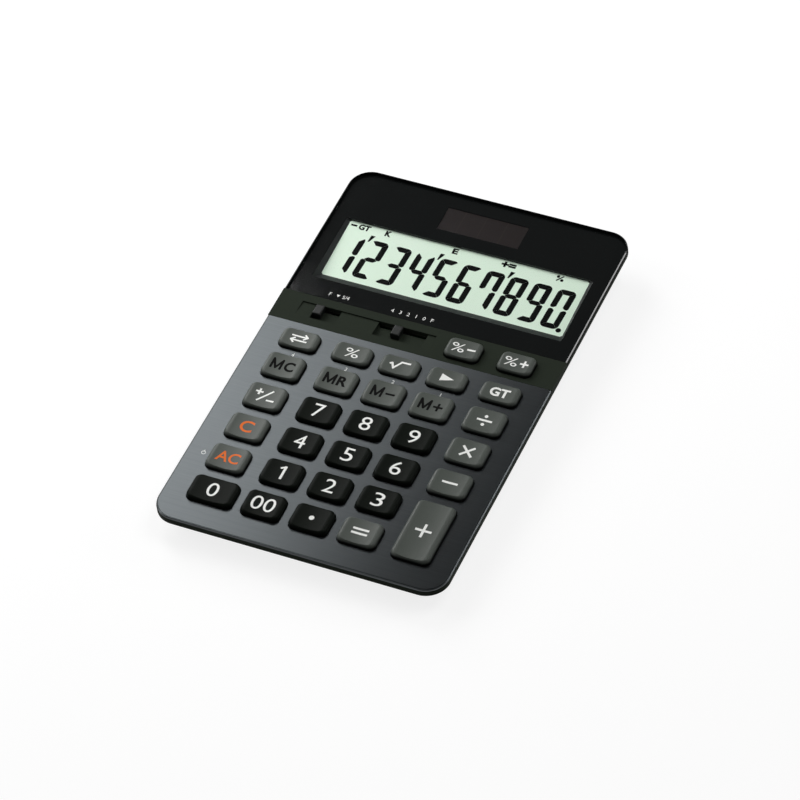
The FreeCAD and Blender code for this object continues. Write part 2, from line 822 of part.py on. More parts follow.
def cover_screw():
    one = screw(case_shank_radius, cover_screw_length, case_head_radius, cover_thick / 2)
    return placed(one, at(0, cover_screw_y, cover_seat))


def coin_cell():
    can = rod(0, cell_y, cover_top, cell_top - cell_cap_rise, cell_radius)
    cap = rod(0, cell_y, cell_top - 2 * cell_cap_rise, cell_top, cell_radius - cell_cap_inset)
    return can.fuse(cap).removeSplitter()


def negative_contact():
    reach = cell_radius + cell_clear + well_wall
    half = contact_width / 2
    return box(-reach, reach, cell_y - half, cell_y + half, cell_top, cell_top + contact_thick)


def positive_contact():
    half = contact_width / 2
    face = cell_y - cell_radius
    t = contact_thick
    low = cell_top + contact_rise
    leaf = box(-half, half, face - t, face, pad_top + contact_rise, low + t)
    tail = box(-half, half, face - cell_clear - well_wall, face, low, low + t)
    return leaf.fuse(tail).removeSplitter()


def battery_lead(x, start, rise):
    r = lead_radius
    low = rise - lead_drop
    joint_y = board_rear - lead_step
    solder = [V(x, joint_y, board_bottom - r), V(x, joint_y - lead_weld, board_bottom - r)]
    dip = V(x, start.y - lead_run, low)
    turn = V(x, board_rear + lead_weld, low)
    return pipe([start, V(x, start.y - lead_step, rise), dip, turn] + [desk.multVec(p) for p in solder], r)


def battery_leads():
    side = cell_radius + lead_offset
    rise = cell_top + contact_thick + lead_radius
    first = battery_lead(side, V(cell_radius, cell_y, rise), rise)
    tail_y = cell_y - cell_radius - well_wall + lead_radius
    rise = cell_top + contact_rise + contact_thick + lead_radius
    second = battery_lead(-side, V(0, tail_y, rise), rise)
    return Part.makeCompound([first, second])


def rubber_feet():
    top = foot_stand + foot_recess
    one = Part.makeCylinder(foot_radius, top)
    low = [e for e in one.Edges if e.BoundBox.ZMax < 1e-6]
    one = one.makeFillet(foot_round, low)
    return Part.makeCompound([placed(one, at(x, y, 0)) for x, y in foot_spots])


shapes = {}
for name, x, y, width, length in keys:
    size = (width, length)
    if size not in shapes:
        shapes[size] = key_shape(width, length)
    on_desk(name, placed(shapes[size], at(x, y, 0)))
for name, x, left, right in switches:
    on_desk(name + "_knob", knob_shape(x))
    on_desk(name + "_wiper", wiper_shape(x))
on_desk("front_case", front_case())
on_desk("keyboard_plate", keyboard_plate())
on_desk("display_window", display_window())
on_desk("window_mask", window_mask())
on_desk("lcd_bezel", lcd_bezel())
on_desk("lcd_panel", lcd_panel())
on_desk("lcd_holder", lcd_holder())
on_desk("lcd_ribbon", lcd_ribbon())
on_desk("solar_cell", solar_cell())
on_desk("solar_leads", solar_leads())
on_desk("main_board", main_board())
on_desk("controller_chip", controller_chip())
on_desk("rubber_sheet", rubber_sheet())
on_desk("key_domes", key_domes())
on_desk("inner_screws", inner_screws())
on_desk("case_screws", case_screws())
export("rear_case", rear_case())
export("battery_cover", battery_cover())
export("cover_screw", cover_screw())
export("coin_cell", coin_cell())
export("negative_contact", negative_contact())
export("positive_contact", positive_contact())
export("battery_leads", battery_leads())
export("rubber_feet", rubber_feet())
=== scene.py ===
import json
import math

import bmesh
import bpy
from mathutils import Matrix, Vector
from mathutils.bvhtree import BVHTree


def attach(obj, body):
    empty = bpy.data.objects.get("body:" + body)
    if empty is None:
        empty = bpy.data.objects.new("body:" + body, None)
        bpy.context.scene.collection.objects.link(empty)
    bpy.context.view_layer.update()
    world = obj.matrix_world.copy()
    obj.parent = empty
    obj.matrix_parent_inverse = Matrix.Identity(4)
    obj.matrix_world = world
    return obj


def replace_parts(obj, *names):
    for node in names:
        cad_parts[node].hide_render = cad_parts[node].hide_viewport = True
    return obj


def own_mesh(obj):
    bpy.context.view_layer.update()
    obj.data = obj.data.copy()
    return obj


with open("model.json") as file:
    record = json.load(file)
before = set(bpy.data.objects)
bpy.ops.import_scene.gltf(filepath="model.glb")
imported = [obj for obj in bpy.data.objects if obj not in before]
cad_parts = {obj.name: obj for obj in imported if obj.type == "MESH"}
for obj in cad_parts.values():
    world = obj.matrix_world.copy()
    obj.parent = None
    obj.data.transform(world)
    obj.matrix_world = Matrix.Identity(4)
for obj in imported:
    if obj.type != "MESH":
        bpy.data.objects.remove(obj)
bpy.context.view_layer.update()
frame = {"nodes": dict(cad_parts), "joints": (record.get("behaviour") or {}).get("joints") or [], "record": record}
nodes = frame["nodes"]
scene = bpy.context.scene
scene.view_settings.view_transform = "Standard"

MM = 0.001

# Prints and legends, in millimetres
print_lift = 0.02
print_step = 0.7
probe_height = 10.0
overlap_step = 0.003
overlap_levels = 7
disc_sides = 28
joint_sides = 14

# Letters: a weight is an offset of the outline at a letter size of 1
letter_resolution = 5
plain_weight = 0.0
ink_weight = 0.015
bold_weight = 0.035
sign_weight = 0.05

# Camera, fitted to the outline in the photograph: metres, degrees, then millimetres and metres
camera_place = (0.48456, -0.90911, 1.07472)
camera_turn = (43.5609, 4.0207, 23.8408)
camera_lens = 190.62
camera_sensor = 36.0
camera_far = 20.0


def shade(red, green, blue):
    """A colour as a screen shows it, 0 to 255, as linear values."""
    def linear(level):
        level = level / 255
        return level / 12.92 if level <= 0.04045 else ((level + 0.055) / 1.055) ** 2.4
    return (linear(red), linear(green), linear(blue), 1.0)


# The frame of the flat top face: x right, y rear, z out of the face

face_right = Vector((1, 0, 0))
press_axis = next(j["axis"] for j in frame["joints"] if j["name"].startswith("press_"))
face_normal = Vector(press_axis).normalized()
face_rear = face_normal.cross(face_right)


def reach(node, direction):
    """How far a node goes along a direction: lowest and highest."""
    spans = [direction.dot(v.co) for v in nodes[node].data.vertices]
    return min(spans), max(spans)


def find_face():
    """The frame of the top face, at the middle of its outline and at the level of the plate."""
    level = reach("keyboard_plate", face_normal)[1]
    middle = (reach("keyboard_plate", face_rear)[0] + reach("display_window", face_rear)[1]) / 2
    place = Matrix((face_right, face_rear, face_normal)).transposed().to_4x4()
    place.translation = face_rear * middle + face_normal * level
    return place


face = find_face()


def middle_on_face(node):
    """The middle of a node, in millimetres, in the frame of the top face."""
    x = sum(reach(node, face_right)) / 2
    y = sum(reach(node, face_rear)) / 2 - face_rear.dot(face.translation)
    return x / MM, y / MM


# Shader nodes

# Places of the colour sockets of a mix node, whose names its other sockets share
mix_first = 6
mix_second = 7
mix_result = 2


def add_node(tree, kind, **settings):
    node = tree.nodes.new(kind)
    for name, value in settings.items():
        if hasattr(node, name):
            setattr(node, name, value)
        else:
            node.inputs[name.replace("_", " ")].default_value = value
    return node


def put_in(tree, socket, value):
    """Gives a socket a fixed value, or links it to another socket."""
    if isinstance(value, bpy.types.NodeSocket):
        tree.links.new(value, socket)
    else:
        socket.default_value = value


def math_node(tree, operation, first, second=0.0):
    node = add_node(tree, "ShaderNodeMath", operation=operation)
    put_in(tree, node.inputs[0], first)
    put_in(tree, node.inputs[1], second)
    return node.outputs[0]


def object_place(tree):
    return tree.nodes.new("ShaderNodeTexCoord").outputs["Object"]


def measure(tree, vector, direction):
    """How far a vector goes along a direction."""
    node = add_node(tree, "ShaderNodeVectorMath", operation="DOT_PRODUCT")
    put_in(tree, node.inputs[0], vector)
    put_in(tree, node.inputs[1], direction)
    return node.outputs["Value"]


def noise(tree, vector, scale, detail=2.0, roughness=0.5):
    node = add_node(tree, "ShaderNodeTexNoise", Detail=detail, Roughness=roughness)
    put_in(tree, node.inputs["Vector"], vector)
    put_in(tree, node.inputs["Scale"], scale)
    return node.outputs["Fac"]


def strips(tree, pitch):
    """From 0 to 1 across each strip of one width along x, in millimetres."""
    across = add_node(tree, "ShaderNodeSeparateXYZ")
    put_in(tree, across.inputs[0], object_place(tree))
    return math_node(tree, "FRACT", math_node(tree, "MULTIPLY", across.outputs["X"], 1 / (pitch * MM)))


def mix_colours(tree, factor, first, second):
    """The first colour at 0 and the second at 1."""
    node = add_node(tree, "ShaderNodeMix", data_type="RGBA")
    put_in(tree, node.inputs["Factor"], factor)
    put_in(tree, node.inputs[mix_first], first)
    put_in(tree, node.inputs[mix_second], second)
    return node.outputs[mix_result]


# Node groups for the surfaces: the grain in millimetres, the brushing as a stretch of the pattern

grain_height = 0.06
brush_stretch = (0.004, 1.0, 0.0)


def start_group(name, inputs, outputs):
    """A new node group, the values it is given and the sockets it puts its results in."""
    group = bpy.data.node_groups.new(name, "ShaderNodeTree")
    for label, kind, value in inputs:
        group.interface.new_socket(label, in_out="INPUT", socket_type=kind).default_value = value
    for label, kind in outputs:
        group.interface.new_socket(label, in_out="OUTPUT", socket_type=kind)
    start = group.nodes.new("NodeGroupInput")
    end = group.nodes.new("NodeGroupOutput")
    return group, start.outputs, end.inputs


def vary(group, given, put, pattern):
    """Spreads the given tone and roughness about the middle of a pattern from 0 to 1."""
    centred = math_node(group, "SUBTRACT", pattern, 0.5)
    tone = math_node(group, "ADD", math_node(group, "MULTIPLY", centred, given["Tone Spread"]), 1.0)
    tint = add_node(group, "ShaderNodeVectorMath", operation="SCALE")
    put_in(group, tint.inputs[0], given["Colour"])
    put_in(group, tint.inputs["Scale"], tone)
    put_in(group, put["Colour"], tint.outputs[0])
    spread = math_node(group, "MULTIPLY", centred, given["Roughness Spread"])
    put_in(group, put["Roughness"], math_node(group, "ADD", given["Roughness"], spread))


def make_moulded_group():
    """Moulded or rubbed surface: fine grain, broad smudges and a slight change of tone."""
    group, given, put = start_group(
        "moulded_surface",
        (
            ("Colour", "NodeSocketColor", (0.5, 0.5, 0.5, 1)),
            ("Tone Spread", "NodeSocketFloat", 0.1),
            ("Roughness", "NodeSocketFloat", 0.5),
            ("Roughness Spread", "NodeSocketFloat", 0.1),
            ("Grain Scale", "NodeSocketFloat", 2500.0),
            ("Grain Depth", "NodeSocketFloat", 0.3),
            ("Smudge Scale", "NodeSocketFloat", 60.0),
        ),
        (("Colour", "NodeSocketColor"), ("Roughness", "NodeSocketFloat"), ("Normal", "NodeSocketVector")),
    )
    place = object_place(group)
    grain = noise(group, place, given["Grain Scale"], detail=3.0)
    smudge = noise(group, place, given["Smudge Scale"], detail=4.0)
    half_grain = math_node(group, "MULTIPLY", grain, 0.5)
    half_smudge = math_node(group, "MULTIPLY", smudge, 0.5)
    vary(group, given, put, math_node(group, "ADD", half_grain, half_smudge))
    bump = add_node(group, "ShaderNodeBump", Distance=grain_height * MM)
    put_in(group, bump.inputs["Strength"], given["Grain Depth"])
    put_in(group, bump.inputs["Height"], grain)
    put_in(group, put["Normal"], bump.outputs["Normal"])
    return group


def make_brushed_group():
    """Metal brushed along x: long fine lines of a slightly different tone and gloss."""
    group, given, put = start_group(
        "brushed_metal",
        (
            ("Colour", "NodeSocketColor", (0.5, 0.5, 0.5, 1)),
            ("Tone Spread", "NodeSocketFloat", 0.3),
            ("Roughness", "NodeSocketFloat", 0.3),
            ("Roughness Spread", "NodeSocketFloat", 0.05),
            ("Lines Per Metre", "NodeSocketFloat", 3500.0),
        ),
        (("Colour", "NodeSocketColor"), ("Roughness", "NodeSocketFloat")),
    )
    stretch = add_node(group, "ShaderNodeVectorMath", operation="MULTIPLY")
    put_in(group, stretch.inputs[0], object_place(group))
    put_in(group, stretch.inputs[1], brush_stretch)
    lines = noise(group, stretch.outputs[0], given["Lines Per Metre"], detail=3.0, roughness=0.6)
    vary(group, given, put, lines)
    return group


moulded_group = make_moulded_group()
brushed_group = make_brushed_group()


# Materials: lengths in millimetres, scales of a noise per metre

moulded_roughness_spread = 0.12
brush_spread = 0.9
brush_turn = 20.0
body_corner = 8.5
dark_band = (0.43, 0.62)
# Painted shade on the grey keys' walls: darkest below the first height above the plate, gone above the second
painted_shade_low = 0.45
painted_shade_high = 1.55
painted_edge = 0.6
polished_roughness = 0.12
sawn_roughness = 0.95
flat_limit = 0.9
side_limit = 0.3
haze_scale = 35.0
haze_alpha = 0.006
fibre_scale = 900.0
wash_scale = 40.0
solar_pitch = 8.2
solar_gap = 0.05
solar_grain_scale = 1800.0
solar_grain_share = 0.25
board_run_scale = 220.0
board_run_width = 0.045
board_grain_scale = 2200.0
board_roughness = 0.25
board_roughness_spread = 0.15
ribbon_pitch = 1.1
ribbon_line_share = 0.5


def outline_inset(tree):
    """How far a point of the top face is inside the outline of the body, in metres."""
    place = object_place(tree)
    rear_spans = [reach(node, face_rear) for node in ("keyboard_plate", "display_window")]
    spans = (
        (face_right, reach("front_case", face_right)),
        (face_rear, (min(span[0] for span in rear_spans), max(span[1] for span in rear_spans))),
    )
    beyond = []
    for direction, (low_end, high_end) in spans:
        from_middle = math_node(tree, "SUBTRACT", measure(tree, place, direction), (low_end + high_end) / 2)
        distance = math_node(tree, "ABSOLUTE", from_middle)
        past = math_node(tree, "SUBTRACT", distance, (high_end - low_end) / 2 - body_corner * MM)
        beyond.append(math_node(tree, "POWER", math_node(tree, "MAXIMUM", past, 0.0), 2.0))
    reached = math_node(tree, "SQRT", math_node(tree, "ADD", *beyond))
    return math_node(tree, "SUBTRACT", body_corner * MM, reached)


def start_material(name):
    """A new material, its node tree and the inputs of its shader."""
    material = bpy.data.materials.new(name)
    material.use_nodes = True
    tree = material.node_tree
    return material, tree, tree.nodes["Principled BSDF"].inputs


def group_node(tree, group, **values):
    """The outputs of a node group that is given these values."""
    node = tree.nodes.new("ShaderNodeGroup")
    node.node_tree = group
    for name, value in values.items():
        node.inputs[name.replace("_", " ")].default_value = value
    return node.outputs


def moulded(name, colour, roughness, grain=0.3, scale=2500.0, tone=0.12, metallic=0.0, specular=0.5):
    """Plastic, rubber, print or plated metal with a fine grain."""
    material, tree, shader = start_material(name)
    surface = group_node(
        tree, moulded_group, Colour=colour, Tone_Spread=tone, Roughness=roughness,
        Roughness_Spread=moulded_roughness_spread, Grain_Scale=scale, Grain_Depth=grain,
    )
    put_in(tree, shader["Base Color"], surface["Colour"])
    put_in(tree, shader["Roughness"], surface["Roughness"])
    put_in(tree, shader["Normal"], surface["Normal"])
    shader["Metallic"].default_value = metallic
    shader["Specular IOR Level"].default_value = specular
    return material


def shaded_near_plate(name, painted_shade_colour, **surface):
    """Plastic of a key with painted shade: its walls are painted darker near the plate, where shade falls between
    key and plate.
    """
    material = moulded(name, **surface)
    tree = material.node_tree
    base_colour = tree.nodes["Principled BSDF"].inputs["Base Color"]
    top_colour = base_colour.links[0].from_socket
    plate_level = face_normal.dot(face.translation)
    # Painted shade: the colour goes from a dark shade colour near the plate to the key's own colour higher up
    rise = add_node(
        tree, "ShaderNodeMapRange", interpolation_type="SMOOTHSTEP",
        From_Min=plate_level + painted_shade_low * MM, From_Max=plate_level + painted_shade_high * MM,
    )
    put_in(tree, rise.inputs["Value"], measure(tree, object_place(tree), face_normal))
    put_in(tree, base_colour, mix_colours(tree, rise.outputs["Result"], painted_shade_colour, top_colour))
    return material


def brushed(name, colour, band_colour, roughness, tone):
    """Metal brushed along x, so that it spreads a reflection to the front and rear, a little askew."""
    material, tree, shader = start_material(name)
    surface = group_node(tree, brushed_group, Colour=colour, Tone_Spread=tone, Roughness=roughness)
    put_in(tree, shader["Roughness"], surface["Roughness"])
    inset = outline_inset(tree)
    past_start = math_node(tree, "GREATER_THAN", inset, dark_band[0] * MM)
    before_end = math_node(tree, "LESS_THAN", inset, dark_band[1] * MM)
    band = math_node(tree, "MULTIPLY", past_start, before_end)
    put_in(tree, shader["Base Color"], mix_colours(tree, band, surface["Colour"], band_colour))
    shader["Metallic"].default_value = 1.0
    shader["Anisotropic"].default_value = brush_spread
    turn = math.radians(brush_turn)
    spread = face_rear * math.cos(turn) + face_right * math.sin(turn)
    across = add_node(tree, "ShaderNodeCombineXYZ", X=spread.x, Y=spread.y, Z=spread.z)
    put_in(tree, shader["Tangent"], across.outputs[0])
    return material


def clear_window():
    """Clear acrylic: the flat faces let the display through, and the cut edge is painted dark."""
    material, tree, shader = start_material("clear_window")
    shader["Base Color"].default_value = shade(20, 22, 22)
    normal = tree.nodes.new("ShaderNodeNewGeometry").outputs["True Normal"]
    level = math_node(tree, "ABSOLUTE", measure(tree, normal, face_normal))
    flat = math_node(tree, "GREATER_THAN", level, flat_limit)
    side = math_node(tree, "LESS_THAN", level, side_limit)
    dull = math_node(tree, "MULTIPLY", side, sawn_roughness - polished_roughness)
    put_in(tree, shader["Roughness"], math_node(tree, "ADD", dull, polished_roughness))
    haze = noise(tree, object_place(tree), haze_scale, detail=3.0)
    film = math_node(tree, "MULTIPLY", haze, haze_alpha)
    border = math_node(tree, "LESS_THAN", outline_inset(tree), painted_edge * MM)
    edge = math_node(tree, "MAXIMUM", math_node(tree, "SUBTRACT", 1.0, flat), border)
    put_in(tree, shader["Alpha"], math_node(tree, "MAXIMUM", edge, film))
    return material


def display_glass():
    """Pale green reflector behind the display glass, with a faint fibre in it."""
    material, tree, shader = start_material("display_glass")
    place = object_place(tree)
    fibre = noise(tree, place, fibre_scale, detail=4.0)
    wash = noise(tree, place, wash_scale)
    both = math_node(tree, "MULTIPLY", math_node(tree, "ADD", fibre, wash), 0.5)
    tones = mix_colours(tree, both, shade(228, 255, 230), shade(238, 255, 239))
    put_in(tree, shader["Base Color"], tones)
    shader["Roughness"].default_value = 0.35
    shader["Specular IOR Level"].default_value = 0.3
    return material


def solar_film():
    """Amorphous solar film: dark brown strips with fine gaps between them."""
    material, tree, shader = start_material("solar_film")
    gap = math_node(tree, "LESS_THAN", strips(tree, solar_pitch), solar_gap)
    grain = noise(tree, object_place(tree), solar_grain_scale, detail=3.0)
    pale = math_node(tree, "MAXIMUM", gap, math_node(tree, "MULTIPLY", grain, solar_grain_share))
    put_in(tree, shader["Base Color"], mix_colours(tree, pale, shade(35, 30, 30), shade(44, 38, 37)))
    shader["Roughness"].default_value = 0.3
    shader["Specular IOR Level"].default_value = 0.25
    return material


def circuit_board():
    """Green board with paler copper runs under the lacquer."""
    material, tree, shader = start_material("circuit_board")
    place = object_place(tree)
    runs = add_node(
        tree, "ShaderNodeTexBrick", Scale=board_run_scale, Mortar_Size=board_run_width,
        Color1=shade(24, 78, 44), Color2=shade(30, 88, 50), Mortar=shade(58, 122, 70),
    )
    put_in(tree, runs.inputs["Vector"], place)
    put_in(tree, shader["Base Color"], runs.outputs["Color"])
    dull = math_node(tree, "MULTIPLY", noise(tree, place, board_grain_scale), board_roughness_spread)
    put_in(tree, shader["Roughness"], math_node(tree, "ADD", dull, board_roughness))
    return material


def ribbon_film():
    """Amber film with dark conductor lines along it."""
    material, tree, shader = start_material("ribbon_film")
    dark = math_node(tree, "GREATER_THAN", strips(tree, ribbon_pitch), ribbon_line_share)
    put_in(tree, shader["Base Color"], mix_colours(tree, dark, shade(190, 138, 66), shade(92, 70, 50)))
    shader["Roughness"].default_value = 0.35
    return material


moulded_finishes = {
    "case_plastic": dict(colour=shade(43, 49, 41), roughness=0.6, grain=0.5, scale=2200.0, specular=0.03),
    "rear_plastic": dict(colour=shade(33, 35, 35), roughness=0.62, grain=0.8, scale=1700.0, specular=0.2),
    "mask_black": dict(colour=shade(19, 21, 21), roughness=0.1, grain=0.02, scale=900.0, tone=0.3),
    "bezel_grey": dict(colour=shade(38, 41, 41), roughness=0.5, specular=0.2),
    "holder_plastic": dict(colour=shade(205, 205, 198), roughness=0.5, grain=0.2),
    "lead_red": dict(colour=shade(168, 30, 28), roughness=0.45, grain=0.1),
    "lead_black": dict(colour=shade(24, 24, 25), roughness=0.45, grain=0.1),
    "chip_black": dict(colour=shade(26, 27, 29), roughness=0.6, grain=0.5),
    "contact_rubber": dict(colour=shade(176, 178, 176), roughness=0.7, grain=0.2),
    "knob_plastic": dict(colour=shade(24, 27, 25), roughness=0.45, specular=0.25),
    "wiper_brass": dict(colour=shade(205, 170, 96), roughness=0.3, grain=0.1, metallic=1.0),
    "screw_steel": dict(colour=shade(150, 152, 154), roughness=0.32, grain=0.15, metallic=1.0),
    "foot_rubber": dict(colour=shade(28, 28, 28), roughness=0.8, grain=0.7, scale=1500.0),
    "cell_steel": dict(colour=shade(196, 198, 200), roughness=0.25, grain=0.1, metallic=1.0),
    "contact_steel": dict(colour=shade(186, 188, 186), roughness=0.3, grain=0.1, metallic=1.0),
    "key_black": dict(
        colour=shade(19, 23, 19), roughness=0.36, grain=0.1, scale=3200.0, tone=0.3, specular=0.035,
    ),
}
finishes = {name: moulded(name, **surface) for name, surface in moulded_finishes.items()}
# Grey keys, with painted shade on their walls near the plate
finishes["key_grey"] = shaded_near_plate(
    "key_grey", painted_shade_colour=shade(15, 17, 15), colour=shade(84, 89, 84), roughness=0.34, scale=2600.0,
    tone=0.4, specular=0.16,
)
finishes["plate_aluminium"] = brushed(
    "plate_aluminium", colour=shade(94, 98, 100), band_colour=shade(34, 38, 38), roughness=0.34, tone=0.38,
)
finishes["window_clear"] = clear_window()
finishes["lcd_glass"] = display_glass()
finishes["ribbon_film"] = ribbon_film()
finishes["solar_dark"] = solar_film()
finishes["board_green"] = circuit_board()
white_ink = moulded("white_ink", colour=shade(254, 255, 251), roughness=0.5, grain=0.1)
black_ink = moulded("black_ink", colour=shade(8, 8, 7), roughness=0.6, grain=0.1, specular=0.05)
orange_ink = moulded("orange_ink", colour=shade(240, 112, 24), roughness=0.5, grain=0.1, specular=0.2)
segment_ink = moulded("segment_ink", colour=shade(6, 8, 7), roughness=0.6, grain=0.05, specular=0.05)


def finish_nodes():
    """Every node of the frame takes the finish of its material slot."""
    for part in frame["record"]["subparts"]:
        mesh = nodes[part["node"]].data
        mesh.materials.clear()
        mesh.materials.append(finishes[part["material_slot"]])


finish_nodes()


# Flat drawings, in millimetres, in the frame of the top face

def spot(x, y, turn=0.0, z=0.0):
    """A place on the face, turned by some degrees."""
    return Matrix.Translation((x, y, z)) @ Matrix.Rotation(math.radians(turn), 4, "Z")


def next_level(drawing):
    """Strokes that cross lie at slightly different heights, so that no two share a plane."""
    return overlap_step * (len(drawing.faces) % overlap_levels)


def add_bar(drawing, x, y, width, height, turn=0.0):
    place = spot(x, y, turn, next_level(drawing)) @ Matrix.Diagonal((width, height, 1, 1))
    bmesh.ops.create_grid(drawing, x_segments=1, y_segments=1, size=0.5, matrix=place)


def add_disc(drawing, x, y, radius, sides=disc_sides):
    place = spot(x, y, z=next_level(drawing))
    bmesh.ops.create_circle(drawing, cap_ends=True, segments=sides, radius=radius, matrix=place)


def add_triangle(drawing, radius, place):
    bmesh.ops.create_circle(drawing, cap_ends=True, segments=3, radius=radius, matrix=place)


def add_line(drawing, points, width):
    """A stroke of one width through a few points, with round joints."""
    for (x0, y0), (x1, y1) in zip(points, points[1:]):
        turn = math.degrees(math.atan2(y1 - y0, x1 - x0))
        add_bar(drawing, (x0 + x1) / 2, (y0 + y1) / 2, math.hypot(x1 - x0, y1 - y0), width, turn)
    for x, y in points[1:-1]:
        add_disc(drawing, x, y, width / 2, joint_sides)


def add_words(drawing, text, x, y, width, height, weight=plain_weight):
    """Plain letters or digits of one height about x, y; they fill a width where one is given."""
    curve = bpy.data.curves.new("letters", "FONT")
    curve.body = text
    curve.offset = weight
    curve.resolution_u = letter_resolution
    holder = bpy.data.objects.new("letters", curve)
    scene.collection.objects.link(holder)
    view = bpy.context.evaluated_depsgraph_get()
    mesh = bpy.data.meshes.new_from_object(holder.evaluated_get(view))
    low = [min(v.co[i] for v in mesh.vertices) for i in range(2)]
    high = [max(v.co[i] for v in mesh.vertices) for i in range(2)]
    centre = Matrix.Translation((-(low[0] + high[0]) / 2, -(low[1] + high[1]) / 2, 0))
    scale_y = height / (high[1] - low[1])
    scale_x = width / (high[0] - low[0]) if width else scale_y
    mesh.transform(spot(x, y) @ Matrix.Diagonal((scale_x, scale_y, 1, 1)) @ centre)
    drawing.from_mesh(mesh)
    bpy.data.objects.remove(holder)
    bpy.data.curves.remove(curve)
    bpy.data.meshes.remove(mesh)


def lay_on(name, drawing, node, body, material, lift):
    """Lays a flat drawing on the surface of a node, just clear of it, as a piece that rides on a body."""
    bmesh.ops.scale(drawing, vec=(MM, MM, MM), verts=drawing.verts)
    left = min(v.co.x for v in drawing.verts)
    right = max(v.co.x for v in drawing.verts)
    cuts = int((right - left) / (print_step * MM))
    for i in range(1, cuts + 1):
        everything = drawing.verts[:] + drawing.edges[:] + drawing.faces[:]
        cut_x = left + (right - left) * i / (cuts + 1)
        bmesh.ops.bisect_plane(drawing, geom=everything, plane_co=(cut_x, 0, 0), plane_no=(1, 0, 0))
    surface = BVHTree.FromObject(nodes[node], bpy.context.evaluated_depsgraph_get())
    for vertex in drawing.verts:
        above = face @ Vector((vertex.co.x, vertex.co.y, probe_height * MM))
        hit = surface.ray_cast(above, -face_normal)[0]
        vertex.co = hit + face_normal * (lift * MM + vertex.co.z)
    for print_face in drawing.faces:
        print_face.normal_update()
        if print_face.normal.dot(face_normal) < 0:
            print_face.normal_flip()
    mesh = bpy.data.meshes.new(name)
    drawing.to_mesh(mesh)
    drawing.free()
    mesh.materials.append(material)
    piece = bpy.data.objects.new(name, mesh)
    scene.collection.objects.link(piece)
    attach(piece, body)


# Strokes that know their place about the middle of a key or of a row of signs

def bar(dx, dy, width, height, turn=0.0):
    def draw(drawing, x, y):
        add_bar(drawing, x + dx, y + dy, width, height, turn)
    return draw


def plus(dx, dy, length, width):
    def draw(drawing, x, y):
        add_bar(drawing, x + dx, y + dy, length, width)
        add_bar(drawing, x + dx, y + dy, width, length)
    return draw


def disc(dx, dy, radius):
    def draw(drawing, x, y):
        add_disc(drawing, x + dx, y + dy, radius)
    return draw


def line(points, width):
    def draw(drawing, x, y):
        add_line(drawing, [(x + dx, y + dy) for dx, dy in points], width)
    return draw


def words(text, dx, dy, width, height, weight=plain_weight):
    def draw(drawing, x, y):
        add_words(drawing, text, x + dx, y + dy, width, height, weight)
    return draw


def pointer(dx, radius, stretch_x, stretch_y):
    """A filled triangle that points to the right."""
    def draw(drawing, x, y):
        place = spot(x + dx, y) @ Matrix.Diagonal((stretch_x, stretch_y, 1, 1)) @ spot(0, 0, -90)
        add_triangle(drawing, radius, place)
    return draw


# Key legends, in millimetres: the ink, then the strokes in the order they are drawn

figure_width = 4.1
figure_height = 6.0
memory_letter = dict(dx=2.4, dy=0, width=3.8, height=4.5, weight=bold_weight)
memory_m = line(((-4.15, -2.2), (-4.15, 2.2), (-2.4, -1.7), (-0.65, 2.2), (-0.65, -2.2)), 0.85)
rate_percent = words("%", -2.0, 0, 4.9, 4.0)
legends = {
    "key_tax_minus": (white_ink, rate_percent, bar(3.0, 0, 3.2, 0.75)),
    "key_tax_plus": (white_ink, rate_percent, plus(3.0, 0, 3.2, 0.75)),
    "key_exchange": (
        white_ink,
        bar(-0.4, 1.0, 5.6, 0.65), line(((1.5, 2.2), (2.9, 1.0), (1.5, -0.2)), 0.65),
        bar(0.4, -1.0, 5.6, 0.65), line(((-1.5, -2.2), (-2.9, -1.0), (-1.5, 0.2)), 0.65),
    ),
    "key_percent": (white_ink, words("%", 0, 0, 5.2, 4.2)),
    "key_root": (white_ink, line(((-3.6, -0.1), (-2.8, 0.5), (-1.7, -1.7), (0.4, 1.7), (3.8, 1.7)), 0.75)),
    "key_backspace": (white_ink, pointer(-0.6, 2.45, 1.35, 0.8)),
    "key_grand_total": (white_ink, words("GT", 0, 0, 7.2, 4.0, bold_weight)),
    "key_memory_clear": (black_ink, memory_m, words("C", **memory_letter)),
    "key_memory_recall": (black_ink, memory_m, words("R", **memory_letter)),
    "key_memory_minus": (black_ink, memory_m, bar(2.5, 0, 3.6, 0.85)),
    "key_memory_plus": (black_ink, memory_m, plus(2.5, 0, 3.6, 0.85)),
    "key_divide": (white_ink, bar(0, 0, 5.6, 0.85), disc(0, 1.9, 0.65), disc(0, -1.9, 0.65)),
    "key_sign": (
        white_ink, plus(-2.6, 1.3, 2.8, 0.75), bar(0, 0, 7.2, 0.7, 52.0), bar(2.6, -1.8, 2.9, 0.75),
    ),
    "key_multiply": (white_ink, bar(0, 0, 6.2, 0.9, 45), bar(0, 0, 6.2, 0.9, -45)),
    "key_clear": (orange_ink, words("C", 0, 0, 4.9, 5.2, ink_weight)),
    "key_minus": (white_ink, bar(0, 0, 5.8, 0.9)),
    "key_all_clear": (orange_ink, words("AC", 0, 0, 8.6, 4.7, ink_weight)),
    "key_one": (white_ink, bar(0.45, 0, 0.9, figure_height), line(((0.4, 2.6), (-1.2, 1.7)), 0.75)),
    "key_double_zero": (white_ink, words("00", 0, 0, 8.8, figure_height)),
    "key_point": (white_ink, disc(0, 0, 0.95)),
    "key_equals": (white_ink, bar(0, 0.95, 5.9, 0.9), bar(0, -0.95, 5.9, 0.9)),
    "key_plus": (white_ink, plus(0, 0, 6.0, 0.95)),
}
number_names = ("zero", "two", "three", "four", "five", "six", "seven", "eight", "nine")
for figure, name in zip("023456789", number_names):
    legends["key_" + name] = (white_ink, words(figure, 0, 0, figure_width, figure_height))


